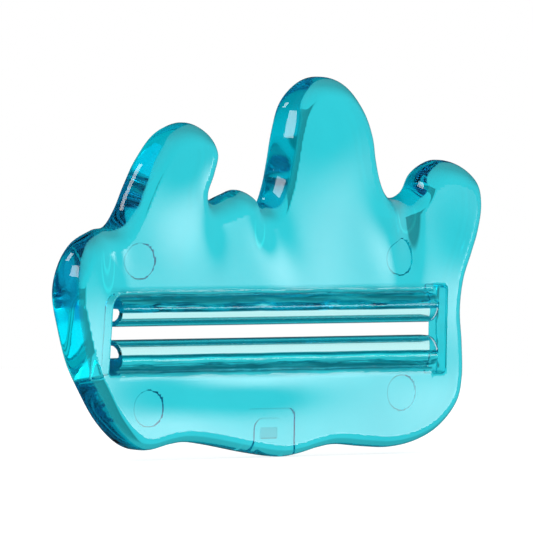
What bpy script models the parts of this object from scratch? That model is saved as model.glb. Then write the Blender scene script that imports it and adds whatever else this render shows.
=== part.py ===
"""Toothpaste tube squeezer shaped like a splash of water, modelled as the members of one moulding.

A thick plate with a free, rounded outline (a lobe at its left, three fingers and a small crest on
top) has a window across it. Two channel rails cross the window, one above and one below a narrow
pinch gap. A rolled tube tail is pulled through that gap. Each rail hangs from the web beside it, and
its two ends stand clear of the plate, so that the window is a capital I lying on its side.

X is the width, to the right as seen from the front. Y is the depth, and the front faces -Y.
Z is up. The origin is at the middle of the box, on the plane of the plate's lowest point.
Lengths are in metres.
"""

import math

import bmesh
import bpy
from mathutils import Matrix, Vector

# The plate, and the widths of the two bridges that close its window, on the slot's own height
PLATE_HEIGHT = 0.0646
PLATE_THICKNESS = 0.0050
FRONT_ROUND = 0.0030
BACK_ROUND = 0.0006
LEFT_BRIDGE_WIDTH = 0.0076
RIGHT_BRIDGE_WIDTH = 0.0045

# The pinch gap and its two rails
SLOT_HEIGHT = 0.0215
PINCH_GAP = 0.0023
RAIL_LENGTH = 0.0674
RAIL_HEIGHT = 0.0051
RAIL_WALL = 0.0014
RAIL_FRONT_WALL = 0.0014
RAIL_NOSE_RADIUS = 0.0032
RAIL_CORNER_RADIUS = 0.0010
RAIL_CORE_RADIUS = 0.0006
RAIL_PROUD = 0.0004

# The clear slot at each end of the rails, and its reliefs behind their outer corners
END_GAP = 0.0021
RELIEF_HEIGHT = 0.0011
RELIEF_REACH = 0.0018
TROUGH_RADIUS = 0.0010

# Marks that the mould leaves on the flat back
EJECTOR_DIAMETER = 0.0061
EJECTOR_DEPTH = 0.0002
EJECTOR_LOW_LEFT = (-0.0256, 0.0087)
EJECTOR_LOW_RIGHT = (0.0285, 0.0105)
EJECTOR_HIGH_LEFT = (-0.0278, 0.0337)
EJECTOR_HIGH_RIGHT = (0.0279, 0.0338)
GATE_RECESS_WIDTH = 0.0108
GATE_RECESS_TOP = 0.0082
GATE_RECESS_DEPTH = 0.0009
GATE_RECESS_CORNER = 0.0014
GATE_PAD_WIDTH = 0.0065
GATE_PAD_BOTTOM = 0.0016
GATE_PAD_TOP = 0.0066
GATE_PAD_THICKNESS = 0.0004
GATE_STUB_WIDTH = 0.0036
GATE_STUB_HEIGHT = 0.0019
GATE_STUB_LENGTH = 0.0002

# The seam between two members of the moulding, and how far a cutter runs past what it cuts
SEAM = 0.0003
OVERRUN = 0.0010

# Each finger ends at a valley: its place across the plate, as a share of the plate's width
NOTCH_SHARE = -0.150
CREST_VALLEY_SHARE = -0.022
RIGHT_VALLEY_SHARE = 0.303

# Where the fingers start and where the crest ends, as shares of the plate's height
FINGER_BASE_SHARE = 0.655
CREST_TOP_SHARE = 0.710

# The outline's two sides at the height of the pinch gap, as shares of the plate's width
SLOT_LEFT_SHARE = -0.484
SLOT_RIGHT_SHARE = 0.453

# The splash outline, clockwise from the lobe at the left: shares of the plate's width and height
OUTLINE_SHARES = [
    # lobe
    (-0.504, 0.437), (-0.492, 0.512), (-0.463, 0.566), (-0.417, 0.597),
    # left finger
    (-0.387, 0.609), (-0.362, 0.656), (-0.340, 0.719), (-0.312, 0.787), (-0.269, 0.851),
    (-0.209, 0.878), (-0.160, 0.855), (-0.139, 0.803), (-0.148, 0.748), (-0.161, 0.697),
    # notch and small crest
    (-0.150, 0.673), (-0.114, 0.688), (-0.080, 0.701), (-0.045, 0.686), (-0.026, 0.662),
    # middle finger
    (-0.009, 0.715), (0.002, 0.781), (0.013, 0.860), (0.032, 0.936), (0.075, 0.987),
    (0.125, 1.000), (0.174, 0.981), (0.214, 0.921), (0.236, 0.853), (0.245, 0.789),
    (0.257, 0.733), (0.275, 0.696),
    # valley and right finger
    (0.304, 0.679), (0.333, 0.699), (0.355, 0.747), (0.404, 0.778), (0.460, 0.768),
    (0.499, 0.730), (0.510, 0.665), (0.502, 0.595), (0.486, 0.534),
    # right side
    (0.467, 0.465), (0.460, 0.385), (0.466, 0.298), (0.468, 0.205), (0.455, 0.134),
    (0.411, 0.070),
    # wavy bottom
    (0.354, 0.033), (0.291, 0.018), (0.230, 0.021), (0.159, 0.029), (0.115, 0.022),
    (0.067, 0.007), (0.020, 0.000), (-0.046, 0.011), (-0.143, 0.035), (-0.205, 0.045),
    (-0.245, 0.040), (-0.290, 0.027), (-0.326, 0.031), (-0.363, 0.057),
    # back up to the lobe
    (-0.404, 0.111), (-0.439, 0.182), (-0.468, 0.253), (-0.490, 0.345),
]
OUTLINE_STEPS = 4
ARC_STEPS = 8
RIM_SEGMENTS = 5
ROUND_SEGMENTS = 40
SHARP_DEGREES = 35

# The plate is as wide as its window and the two bridges need
WINDOW_LENGTH = RAIL_LENGTH + 2 * END_GAP
PLATE_WIDTH = (WINDOW_LENGTH + LEFT_BRIDGE_WIDTH + RIGHT_BRIDGE_WIDTH) / (SLOT_RIGHT_SHARE - SLOT_LEFT_SHARE)

# Places that follow from the sizes
FRONT = RAIL_PROUD / 2 - PLATE_THICKNESS / 2
BACK = FRONT + PLATE_THICKNESS
RAIL_FRONT = FRONT - RAIL_PROUD
UPPER_RAIL_BOTTOM = SLOT_HEIGHT + PINCH_GAP / 2
LOWER_RAIL_TOP = SLOT_HEIGHT - PINCH_GAP / 2
UPPER_WEB_BOTTOM = UPPER_RAIL_BOTTOM + RAIL_HEIGHT + SEAM
LOWER_WEB_TOP = LOWER_RAIL_TOP - RAIL_HEIGHT - SEAM
WINDOW_LEFT = SLOT_LEFT_SHARE * PLATE_WIDTH + LEFT_BRIDGE_WIDTH
WINDOW_RIGHT = WINDOW_LEFT + WINDOW_LENGTH
RAIL_LEFT = WINDOW_LEFT + END_GAP
RAIL_RIGHT = WINDOW_RIGHT - END_GAP
RAIL_MIDDLE = (RAIL_LEFT + RAIL_RIGHT) / 2
OUTER_LEFT = -PLATE_WIDTH / 2 - OVERRUN
OUTER_RIGHT = PLATE_WIDTH / 2 + OVERRUN
OUTER_BOTTOM = -OVERRUN
OUTER_TOP = PLATE_HEIGHT + OVERRUN

# The moulding's colour: clear turquoise plastic, a little paler on the rails
CLEAR_TURQUOISE = (0.06, 0.58, 0.69, 1.0)
RAIL_TURQUOISE = (0.16, 0.66, 0.78, 1.0)
PLASTIC_ROUGHNESS = 0.05
PLASTIC_METALLIC = 0.0


def clear_scene():
    """Remove whatever the scene starts with."""
    for old in list(bpy.data.objects):
        bpy.data.objects.remove(old, do_unlink=True)


def make_collection(name):
    """Return a new collection, linked to the scene."""
    collection = bpy.data.collections.new(name)
    bpy.context.scene.collection.children.link(collection)
    return collection


def make_material(name, colour):
    """Return a Principled material of the moulding's plastic in the given colour."""
    material = bpy.data.materials.new(name)
    material.use_nodes = True
    shader = material.node_tree.nodes["Principled BSDF"]
    shader.inputs["Base Color"].default_value = colour
    shader.inputs["Roughness"].default_value = PLASTIC_ROUGHNESS
    shader.inputs["Metallic"].default_value = PLASTIC_METALLIC
    return material


def arc_points(centre, radius, start, end):
    """Return the points of an arc, both ends included. Angles are in degrees."""
    points = []
    for step in range(ARC_STEPS + 1):
        angle = math.radians(start + (end - start) * step / ARC_STEPS)
        points.append((centre[0] + radius * math.cos(angle), centre[1] + radius * math.sin(angle)))
    return points


def spline_point(before, start, end, after, share):
    """Return the point that lies a share of the way from start to end on a Catmull-Rom spline."""
    point = []
    for a, b, c, d in zip(before, start, end, after):
        slope = (c - a) * share
        bend = (2 * a - 5 * b + 4 * c - d) * share ** 2
        twist = (3 * b - a - 3 * c + d) * share ** 3
        point.append(b + (slope + bend + twist) / 2)
    return point


def splash_outline():
    """Return the smooth outline of the plate, fitted to the plate's width and height."""
    count = len(OUTLINE_SHARES)
    points = []
    for index in range(count):
        corners = [OUTLINE_SHARES[(index + offset) % count] for offset in (-1, 0, 1, 2)]
        for step in range(OUTLINE_STEPS):
            points.append(spline_point(*corners, step / OUTLINE_STEPS))
    left = min(point[0] for point in points)
    right = max(point[0] for point in points)
    bottom = min(point[1] for point in points)
    top = max(point[1] for point in points)
    outline = []
    for across, up in points:
        x = ((across - left) / (right - left) - 1 / 2) * PLATE_WIDTH
        z = (up - bottom) / (top - bottom) * PLATE_HEIGHT
        outline.append((x, z))
    return outline


def extruded_outline(name, points, depth, matrix):
    """Extrude a closed outline by a depth and return it as one closed mesh object.

    The outline is drawn in the local XY plane and extruded both ways along local Z. The matrix
    places it.
    """
    curve = bpy.data.curves.new(name, "CURVE")
    curve.dimensions = "2D"
    curve.fill_mode = "BOTH"
    curve.extrude = depth / 2
    spline = curve.splines.new("POLY")
    spline.points.add(len(points) - 1)
    for point, (x, y) in zip(spline.points, points):
        point.co = (x, y, 0, 1)
    spline.use_cyclic_u = True
    drawn = bpy.data.objects.new(name + "_drawn", curve)
    bpy.context.scene.collection.objects.link(drawn)
    bpy.context.view_layer.update()
    evaluated = drawn.evaluated_get(bpy.context.evaluated_depsgraph_get())
    mesh = bpy.data.meshes.new_from_object(evaluated)
    mesh.name = name
    bpy.data.objects.remove(drawn, do_unlink=True)
    shape = bmesh.new()
    shape.from_mesh(mesh)
    bmesh.ops.remove_doubles(shape, verts=shape.verts, dist=SEAM / 100)
    bmesh.ops.transform(shape, matrix=matrix, verts=shape.verts)
    bmesh.ops.recalc_face_normals(shape, faces=shape.faces)
    shape.to_mesh(mesh)
    shape.free()
    return bpy.data.objects.new(name, mesh)


def box(name, low, high, collection):
    """Return a box between two corners."""
    mesh = bpy.data.meshes.new(name)
    shape = bmesh.new()
    size = Vector(high) - Vector(low)
    middle = (Vector(high) + Vector(low)) / 2
    bmesh.ops.create_cube(shape, size=1, matrix=Matrix.Translation(middle) @ Matrix.Diagonal(size).to_4x4())
    shape.to_mesh(mesh)
    shape.free()
    made = bpy.data.objects.new(name, mesh)
    collection.objects.link(made)
    return made


def cylinder(name, centre, radius, length, axis, collection):
    """Return a cylinder centred on a point, along the axis "X" or "Y"."""
    mesh = bpy.data.meshes.new(name)
    shape = bmesh.new()
    turns = {"X": Matrix.Rotation(math.radians(90), 4, "Y"), "Y": Matrix.Rotation(math.radians(90), 4, "X")}
    bmesh.ops.create_cone(
        shape, cap_ends=True, segments=ROUND_SEGMENTS, radius1=radius, radius2=radius,
        depth=length, matrix=Matrix.Translation(centre) @ turns[axis],
    )
    shape.to_mesh(mesh)
    shape.free()
    made = bpy.data.objects.new(name, mesh)
    collection.objects.link(made)
    return made


def as_cutter(cutter):
    """Keep a cutter out of renders and show it as a wire."""
    cutter.hide_render = True
    cutter.display_type = "WIRE"
    return cutter


def add_boolean(target, cutter, operation):
    """Cut or trim the target with another object."""
    modifier = target.modifiers.new(operation.lower() + "_" + cutter.name, "BOOLEAN")
    modifier.operation = operation
    modifier.object = cutter
    modifier.solver = "EXACT"


def upright():
    """Return the matrix that stands a drawn outline up, so that its Y runs along Z."""
    return Matrix.Rotation(math.radians(90), 4, "X")


def rounded_plate_mesh():
    """Return the mesh of the whole plate: the splash outline, its front edge well rounded."""
    middle = Matrix.Translation((0, (FRONT + BACK) / 2, 0))
    plate = extruded_outline("plate", splash_outline(), PLATE_THICKNESS, middle @ upright())
    bpy.context.scene.collection.objects.link(plate)
    shape = bmesh.new()
    shape.from_mesh(plate.data)
    for side in (-1, 1):
        cap = [face for face in shape.faces if face.normal.y * side > 1 / 2]
        bmesh.ops.dissolve_faces(shape, faces=cap)
    shape.to_mesh(plate.data)
    shape.free()
    weights = plate.data.attributes.new("bevel_weight_edge", "FLOAT", "EDGE")
    for edge in plate.data.edges:
        depths = [plate.data.vertices[index].co.y for index in edge.vertices]
        if max(depths) < FRONT + SEAM:
            weights.data[edge.index].value = 1
        elif min(depths) > BACK - SEAM:
            weights.data[edge.index].value = BACK_ROUND / FRONT_ROUND
    bevel = plate.modifiers.new("rounded_rim", "BEVEL")
    bevel.limit_method = "WEIGHT"
    bevel.width = FRONT_ROUND
    bevel.segments = RIM_SEGMENTS
    bevel.use_clamp_overlap = False
    bpy.context.view_layer.update()
    evaluated = plate.evaluated_get(bpy.context.evaluated_depsgraph_get())
    mesh = bpy.data.meshes.new_from_object(evaluated)
    bpy.data.objects.remove(plate, do_unlink=True)
    return mesh


def rectangle(left, bottom, right, top):
    """Return the outline of an upright rectangle."""
    return [(left, bottom), (right, bottom), (right, top), (left, top)]


def plate_member(name, plate_mesh, region, material, parts, cutters):
    """Return the stretch of the plate that lies in a region, given as an upright outline."""
    member = bpy.data.objects.new(name, plate_mesh.copy())
    parts.objects.link(member)
    place = Matrix.Translation((0, (FRONT + BACK) / 2, 0)) @ upright()
    cutter = extruded_outline(name + "_region", region, PLATE_THICKNESS + 2 * OVERRUN, place)
    cutters.objects.link(cutter)
    add_boolean(member, as_cutter(cutter), "INTERSECT")
    member.data.materials.clear()
    member.data.materials.append(material)
    member.data.set_sharp_from_angle(angle=math.radians(SHARP_DEGREES))
    return member


def cut_reliefs(web, edge, direction, cutters):
    """Cut the two reliefs of the end slots into a web. The direction is 1 up, -1 down."""
    tip = edge + direction * RELIEF_HEIGHT
    mouth = edge - direction * OVERRUN
    low_z = min(tip, mouth)
    high_z = max(tip, mouth)
    spans = {
        "left": (WINDOW_LEFT, RAIL_LEFT + RELIEF_REACH),
        "right": (RAIL_RIGHT - RELIEF_REACH, WINDOW_RIGHT),
    }
    for side, (start, end) in spans.items():
        name = web.name + "_relief_" + side
        relief = box(name, (start, FRONT - OVERRUN, low_z), (end, BACK + OVERRUN, high_z), cutters)
        add_boolean(web, as_cutter(relief), "DIFFERENCE")


def cut_trough(web, edge, cutters):
    """Round off the web's front edge along its rail."""
    length = RAIL_LENGTH - 2 * RELIEF_REACH
    trough = cylinder(web.name + "_trough", (RAIL_MIDDLE, FRONT, edge), TROUGH_RADIUS, length, "X", cutters)
    add_boolean(web, as_cutter(trough), "DIFFERENCE")


def cut_ejector_marks(web, places, cutters):
    """Sink the shallow round ejector marks into the web's back."""
    for number, (x, z) in enumerate(places, start=1):
        depth = 2 * EJECTOR_DEPTH
        name = web.name + "_ejector_" + str(number)
        mark = cylinder(name, (x, BACK, z), EJECTOR_DIAMETER / 2, depth, "Y", cutters)
        add_boolean(web, as_cutter(mark), "DIFFERENCE")


def arch_outline(width, bottom, top, corner):
    """Return an upright outline with a straight bottom and two rounded upper corners."""
    half = width / 2
    points = [(-half, bottom), (half, bottom)]
    points += arc_points((half - corner, top - corner), corner, 0, 90)
    points += arc_points((corner - half, top - corner), corner, 90, 180)
    return points


def cut_gate_recess(web, cutters):
    """Sink the gate's recess into the back of the lower web, open at the web's bottom edge."""
    outline = arch_outline(GATE_RECESS_WIDTH, OUTER_BOTTOM, GATE_RECESS_TOP, GATE_RECESS_CORNER)
    place = Matrix.Translation((0, BACK + OVERRUN / 2 - GATE_RECESS_DEPTH / 2, 0)) @ upright()
    depth = GATE_RECESS_DEPTH + OVERRUN
    recess = extruded_outline(web.name + "_gate_recess", outline, depth, place)
    cutters.objects.link(recess)
    add_boolean(web, as_cutter(recess), "DIFFERENCE")


def make_gate_pad(material, parts, cutters):
    """Make the arched pad in the gate's recess, with the stub that is left of the gate."""
    floor = BACK - GATE_RECESS_DEPTH + SEAM
    outline = arch_outline(GATE_PAD_WIDTH, GATE_PAD_BOTTOM, GATE_PAD_TOP, GATE_PAD_WIDTH / 3)
    place = Matrix.Translation((0, floor + GATE_PAD_THICKNESS / 2, 0)) @ upright()
    pad = extruded_outline("gate_pad", outline, GATE_PAD_THICKNESS, place)
    parts.objects.link(pad)
    pad.data.materials.append(material)
    middle = (GATE_PAD_BOTTOM + GATE_PAD_TOP) / 2
    back = floor + GATE_PAD_THICKNESS + GATE_STUB_LENGTH
    low = (-GATE_STUB_WIDTH / 2, floor + GATE_PAD_THICKNESS / 2, middle - GATE_STUB_HEIGHT / 2)
    high = (GATE_STUB_WIDTH / 2, back, middle + GATE_STUB_HEIGHT / 2)
    add_boolean(pad, as_cutter(box("gate_pad_stub", low, high, cutters)), "UNION")
    return pad


def rail_profile(gap_edge, direction):
    """Return a rail's section as (depth, height) points.

    The rail runs away from the pinch gap in the given direction, 1 up or -1 down. Its edge at the
    gap has a wide nose, its outer edge a small corner, and its back is cored out.
    """
    nose = RAIL_NOSE_RADIUS
    corner = RAIL_CORNER_RADIUS
    core = RAIL_CORE_RADIUS
    core_front = RAIL_FRONT + RAIL_FRONT_WALL
    points = [(BACK, 0)]
    points += arc_points((RAIL_FRONT + nose, nose), nose, 270, 180)
    points += arc_points((RAIL_FRONT + corner, RAIL_HEIGHT - corner), corner, 180, 90)
    points += [(BACK, RAIL_HEIGHT), (BACK, RAIL_HEIGHT - RAIL_WALL)]
    points += arc_points((core_front + core, RAIL_HEIGHT - RAIL_WALL - core), core, 90, 180)
    points += arc_points((core_front + core, RAIL_WALL + core), core, 180, 270)
    points.append((BACK, RAIL_WALL))
    return [(depth, gap_edge + direction * height) for depth, height in points]


def make_rail(name, gap_edge, direction, material, parts):
    """Make one channel rail, drawn in section and extruded along the width."""
    turn = Matrix(((0, 0, 1, 0), (1, 0, 0, 0), (0, 1, 0, 0), (0, 0, 0, 1)))
    place = Matrix.Translation((RAIL_MIDDLE, 0, 0)) @ turn
    rail = extruded_outline(name, rail_profile(gap_edge, direction), RAIL_LENGTH, place)
    parts.objects.link(rail)
    rail.data.materials.append(material)
    rail.data.set_sharp_from_angle(angle=math.radians(SHARP_DEGREES))
    return rail


def build():
    """Build the whole squeezer."""
    clear_scene()
    parts = make_collection("toothpaste_tube_squeezer")
    cutters = make_collection("cutters")
    plate_mesh = rounded_plate_mesh()

    notch = NOTCH_SHARE * PLATE_WIDTH
    crest_valley = CREST_VALLEY_SHARE * PLATE_WIDTH
    right_valley = RIGHT_VALLEY_SHARE * PLATE_WIDTH
    web_top = FINGER_BASE_SHARE * PLATE_HEIGHT
    base = web_top + SEAM
    crest_top = CREST_TOP_SHARE * PLATE_HEIGHT
    left_finger = [
        (OUTER_LEFT, base), (notch - SEAM / 2, base), (notch - SEAM / 2, crest_top),
        (crest_valley, crest_top), (crest_valley, OUTER_TOP), (OUTER_LEFT, OUTER_TOP),
    ]
    regions = {
        "lower_web": rectangle(OUTER_LEFT, OUTER_BOTTOM, OUTER_RIGHT, LOWER_WEB_TOP),
        "upper_web": rectangle(OUTER_LEFT, UPPER_WEB_BOTTOM, OUTER_RIGHT, web_top),
        "left_bridge": rectangle(OUTER_LEFT, LOWER_WEB_TOP + SEAM, WINDOW_LEFT, UPPER_WEB_BOTTOM - SEAM),
        "right_bridge": rectangle(WINDOW_RIGHT, LOWER_WEB_TOP + SEAM, OUTER_RIGHT, UPPER_WEB_BOTTOM - SEAM),
        "left_finger": left_finger,
        "small_crest": rectangle(notch + SEAM / 2, base, crest_valley - SEAM / 2, crest_top),
        "middle_finger": rectangle(crest_valley + SEAM / 2, base, right_valley - SEAM / 2, OUTER_TOP),
        "right_finger": rectangle(right_valley + SEAM / 2, base, OUTER_RIGHT, OUTER_TOP),
    }
    members = {}
    for name, region in regions.items():
        material = make_material(name + "_plastic", CLEAR_TURQUOISE)
        members[name] = plate_member(name, plate_mesh, region, material, parts, cutters)

    upper_web = members["upper_web"]
    lower_web = members["lower_web"]
    cut_reliefs(upper_web, UPPER_WEB_BOTTOM, 1, cutters)
    cut_reliefs(lower_web, LOWER_WEB_TOP, -1, cutters)
    cut_trough(upper_web, UPPER_WEB_BOTTOM, cutters)
    cut_trough(lower_web, LOWER_WEB_TOP, cutters)
    cut_ejector_marks(upper_web, (EJECTOR_HIGH_LEFT, EJECTOR_HIGH_RIGHT), cutters)
    cut_ejector_marks(lower_web, (EJECTOR_LOW_LEFT, EJECTOR_LOW_RIGHT), cutters)
    cut_gate_recess(lower_web, cutters)

    make_gate_pad(make_material("gate_pad_plastic", CLEAR_TURQUOISE), parts, cutters)
    rails = {"upper_rail": (UPPER_RAIL_BOTTOM, 1), "lower_rail": (LOWER_RAIL_TOP, -1)}
    for name, (gap_edge, direction) in rails.items():
        make_rail(name, gap_edge, direction, make_material(name + "_plastic", RAIL_TURQUOISE), parts)
    bpy.data.meshes.remove(plate_mesh)


build()
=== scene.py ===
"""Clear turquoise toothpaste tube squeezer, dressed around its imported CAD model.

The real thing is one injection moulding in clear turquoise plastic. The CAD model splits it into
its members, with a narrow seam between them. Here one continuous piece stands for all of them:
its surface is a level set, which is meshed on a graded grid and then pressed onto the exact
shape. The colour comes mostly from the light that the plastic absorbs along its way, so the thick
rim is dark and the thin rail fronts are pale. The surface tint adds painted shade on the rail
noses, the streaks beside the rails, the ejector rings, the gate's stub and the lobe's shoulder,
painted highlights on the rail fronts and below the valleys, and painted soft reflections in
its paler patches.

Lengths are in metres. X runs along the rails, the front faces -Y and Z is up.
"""

import logging
import math
from dataclasses import dataclass, field
from enum import Enum
from functools import reduce
from typing import Any, Dict, List, Optional, Sequence, Tuple, Union

import bpy
import numpy as np
from mathutils import Matrix, Vector


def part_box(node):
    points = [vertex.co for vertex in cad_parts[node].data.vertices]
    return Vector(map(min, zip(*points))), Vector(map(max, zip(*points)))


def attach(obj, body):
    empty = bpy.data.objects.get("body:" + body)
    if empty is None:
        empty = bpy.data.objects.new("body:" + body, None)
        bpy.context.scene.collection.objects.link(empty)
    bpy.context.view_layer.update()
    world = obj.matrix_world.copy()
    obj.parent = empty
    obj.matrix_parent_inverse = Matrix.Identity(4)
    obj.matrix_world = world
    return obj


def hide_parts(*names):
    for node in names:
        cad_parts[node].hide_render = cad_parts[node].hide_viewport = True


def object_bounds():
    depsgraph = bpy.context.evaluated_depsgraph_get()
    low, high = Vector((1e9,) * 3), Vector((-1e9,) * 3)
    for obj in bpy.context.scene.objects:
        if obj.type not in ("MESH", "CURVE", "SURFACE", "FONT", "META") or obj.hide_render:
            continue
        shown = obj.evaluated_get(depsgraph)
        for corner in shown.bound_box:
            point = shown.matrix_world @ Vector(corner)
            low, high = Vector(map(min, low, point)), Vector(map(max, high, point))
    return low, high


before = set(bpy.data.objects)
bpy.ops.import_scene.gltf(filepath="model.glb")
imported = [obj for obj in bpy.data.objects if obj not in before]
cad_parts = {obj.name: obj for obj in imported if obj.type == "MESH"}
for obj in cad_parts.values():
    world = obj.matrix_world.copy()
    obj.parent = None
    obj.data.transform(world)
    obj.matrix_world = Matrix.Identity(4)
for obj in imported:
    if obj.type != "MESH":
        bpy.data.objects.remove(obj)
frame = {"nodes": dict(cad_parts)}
CAD_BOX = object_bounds()

logging.basicConfig(level=logging.INFO, format="%(message)s")
LOG = logging.getLogger("squeezer")

BODY = "root"
LIGHT_BOUNCES = {"max_bounces": 24, "glossy_bounces": 20, "transmission_bounces": 20}
MM = 0.001
TINY = 1e-9

Floats = np.ndarray
Pair = Tuple[float, float]
Triple = Tuple[float, float, float]
Colour = Tuple[float, float, float, float]
WHITE: Colour = (1.0, 1.0, 1.0, 1.0)


def stand(name: str, data: bpy.types.ID) -> bpy.types.Object:
    """Put a new object with the given data in the scene."""
    made = bpy.data.objects.new(name, data)
    bpy.context.scene.collection.objects.link(made)
    return made


def grey(share: float) -> Colour:
    """Return a grey of the given share of white."""
    return (share, share, share, 1.0)


# Solid shapes as level sets: below zero inside, above zero outside


def round_meet(first: Floats, second: Floats, radius: Union[float, Floats]) -> Floats:
    """Intersect two shapes and round the edge where they meet."""
    past_first = np.maximum(first + radius, 0.0)
    past_second = np.maximum(second + radius, 0.0)
    corner = np.sqrt(past_first**2 + past_second**2)
    return np.minimum(-radius, np.maximum(first, second)) + corner


def soft_join(first: Floats, second: Floats, reach: float) -> Floats:
    """Join two shapes, whose surfaces flow into each other over the given distance."""
    share = np.clip(0.5 + 0.5 * (second - first) / reach, 0.0, 1.0)
    return second * (1 - share) + first * share - reach * share * (1 - share)


def rim_meet(side: Floats, face: Floats, reach: Floats, depth: Floats, power: Floats) -> Floats:
    """Intersect the plate's side with its front and turn the edge into a soft rim.

    Args:
        side: Signed distance to the outline.
        face: Signed distance to the front.
        reach: How far the rim reaches in from the outline.
        depth: How deep the rim goes from the front.
        power: Fullness of the rim: 1 is a flat bevel and 2 an ellipse.

    Returns:
        Level set of the plate with its rim.
    """
    across = np.maximum(side / reach + 1.0, 0.0)
    inward = np.maximum(face / depth + 1.0, 0.0)
    beside, before = across**power, inward**power
    total = np.maximum(beside + before, TINY)
    scale = reach + (depth - reach) * before / total
    curved = (total ** (1.0 / power) - 1.0) * scale
    return np.where(across + inward > 0.0, curved, np.maximum(side, face))


def soft_step(value: Floats, width: float) -> Floats:
    """Fall smoothly from 1 below zero to 0 above it, over the given width."""
    share = np.clip(0.5 - value / width, 0.0, 1.0)
    return share * share * (3 - 2 * share)


def upright_box(x: Floats, z: Floats, low: Pair, high: Pair) -> Floats:
    """Return the signed distance to a rectangle in the upright plane."""
    return np.maximum(np.maximum(low[0] - x, x - high[0]), np.maximum(low[1] - z, z - high[1]))


def arch(x: Floats, z: Floats, half: float, top: float, corner: float) -> Floats:
    """Return the signed distance to an arch of a half width, top and corner radius, open below."""
    return round_meet(np.abs(x) - half, z - top, corner)


# The plate's outline and its softly moulded front


@dataclass(frozen=True)
class SplashOutline:
    """The splash outline, clockwise from the lobe, in shares of the plate's width and height.

    Attributes:
        shares: Points that the closed curve passes through.
        steps: Points drawn along each span of the curve.
        cad_steps: Points along each span in the CAD model, whose reach the curve is scaled by.
    """

    shares: Tuple[Pair, ...] = (
        (-0.504, 0.437), (-0.492, 0.512), (-0.463, 0.566), (-0.417, 0.597),
        (-0.387, 0.609), (-0.362, 0.656), (-0.340, 0.719), (-0.312, 0.787), (-0.269, 0.851),
        (-0.209, 0.878), (-0.160, 0.855), (-0.139, 0.803), (-0.148, 0.748), (-0.161, 0.697),
        (-0.150, 0.673), (-0.114, 0.688), (-0.080, 0.701), (-0.045, 0.686), (-0.026, 0.662),
        (-0.009, 0.715), (0.002, 0.781), (0.013, 0.860), (0.032, 0.936), (0.075, 0.987),
        (0.125, 1.000), (0.174, 0.981), (0.214, 0.921), (0.236, 0.853), (0.245, 0.789),
        (0.257, 0.733), (0.275, 0.696),
        (0.304, 0.679), (0.333, 0.699), (0.355, 0.747), (0.404, 0.778), (0.460, 0.768),
        (0.499, 0.730), (0.510, 0.665), (0.502, 0.595), (0.486, 0.534),
        (0.467, 0.465), (0.460, 0.385), (0.466, 0.298), (0.468, 0.205), (0.455, 0.134),
        (0.411, 0.070),
        (0.354, 0.033), (0.291, 0.018), (0.230, 0.021), (0.159, 0.029), (0.115, 0.022),
        (0.067, 0.007), (0.020, 0.000), (-0.046, 0.011), (-0.143, 0.035), (-0.205, 0.045),
        (-0.245, 0.040), (-0.290, 0.027), (-0.326, 0.031), (-0.363, 0.057),
        (-0.404, 0.111), (-0.439, 0.182), (-0.468, 0.253), (-0.490, 0.345),
    )
    steps: int = 14
    cad_steps: int = 4

    def drawn(self, width: float, height: float) -> Floats:
        """Draw the closed curve at its real size.

        Args:
            width: Width of the plate.
            height: Height of the plate.

        Returns:
            Points of the curve as (x, z) rows, standing on height 0 and centred across.
        """
        as_packed = self._curve(self.cad_steps)
        low, high = as_packed.min(axis=0), as_packed.max(axis=0)
        scaled = (self._curve(self.steps) - low) / (high - low)
        return np.stack([(scaled[:, 0] - 0.5) * width, scaled[:, 1] * height], axis=1)

    def _curve(self, steps: int) -> Floats:
        """Return points of the smooth curve through the shares, with so many to a span."""
        knots = np.array(self.shares)
        before, start, end, after = (np.roll(knots, shift, axis=0) for shift in (1, 0, -1, -2))
        rows = []
        for share in np.arange(steps) / steps:
            slope = (end - before) * share
            bend = (2 * before - 5 * start + 4 * end - after) * share**2
            twist = (3 * start - before - 3 * end + after) * share**3
            rows.append(start + (slope + bend + twist) / 2)
        return np.stack(rows, axis=1).reshape(-1, 2)


@dataclass(frozen=True)
class Ripple:
    """One soft swell or groove in the moulded front.

    Attributes:
        x: Its middle across the plate, in millimetres.
        z: Its middle up the plate, in millimetres.
        across: Half its width, in millimetres.
        along: Half its length, in millimetres.
        lean: Degrees that it leans to the right of upright.
        rise: Height towards the viewer in millimetres. A groove is below zero.
    """

    x: float
    z: float
    across: float
    along: float
    lean: float
    rise: float

    def height(self, x: Floats, z: Floats) -> Floats:
        """Return the ripple's height in metres at places given in metres."""
        angle = math.radians(self.lean)
        right = x / MM - self.x
        upward = z / MM - self.z
        sideways = right * math.cos(angle) - upward * math.sin(angle)
        lengthways = right * math.sin(angle) + upward * math.cos(angle)
        spread = (sideways / self.across) ** 2 + (lengthways / self.along) ** 2
        return self.rise * MM * np.exp(-spread)


FRONT_RIPPLES: Tuple[Ripple, ...] = (
    # drips below the valleys
    Ripple(-35.5, 34.5, 2.0, 5.0, -14.0, -0.34),
    Ripple(-3.8, 41.0, 1.7, 4.5, -20.0, -0.30),
    Ripple(27.2, 42.0, 2.3, 8.5, -2.0, -1.45),
    Ripple(-14.5, 42.0, 2.0, 5.0, -10.0, -0.22),
    # soft folds that run on from them
    Ripple(-1.5, 37.5, 3.2, 7.5, -30.0, 0.15),
    Ripple(22.5, 37.5, 3.0, 7.0, -28.0, 0.10),
    Ripple(-27.0, 39.0, 5.0, 9.0, -25.0, -0.04),
    Ripple(9.0, 38.0, 6.0, 12.0, 0.0, 0.10),
    # crowned fingers
    Ripple(10.5, 52.0, 7.0, 12.0, 8.0, 0.22),
    Ripple(-20.0, 46.0, 6.0, 9.0, 24.0, 0.18),
    Ripple(38.5, 31.5, 5.5, 8.0, -6.0, 0.14),
    Ripple(-40.0, 26.0, 4.0, 10.0, 0.0, 0.15),
    # belly of the lower web
    Ripple(-25.0, 7.5, 11.0, 6.0, 0.0, 0.18),
    Ripple(33.0, 13.0, 8.0, 6.0, 0.0, 0.06),
    Ripple(-6.0, 12.5, 14.0, 3.5, 0.0, -0.14),
)


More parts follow.
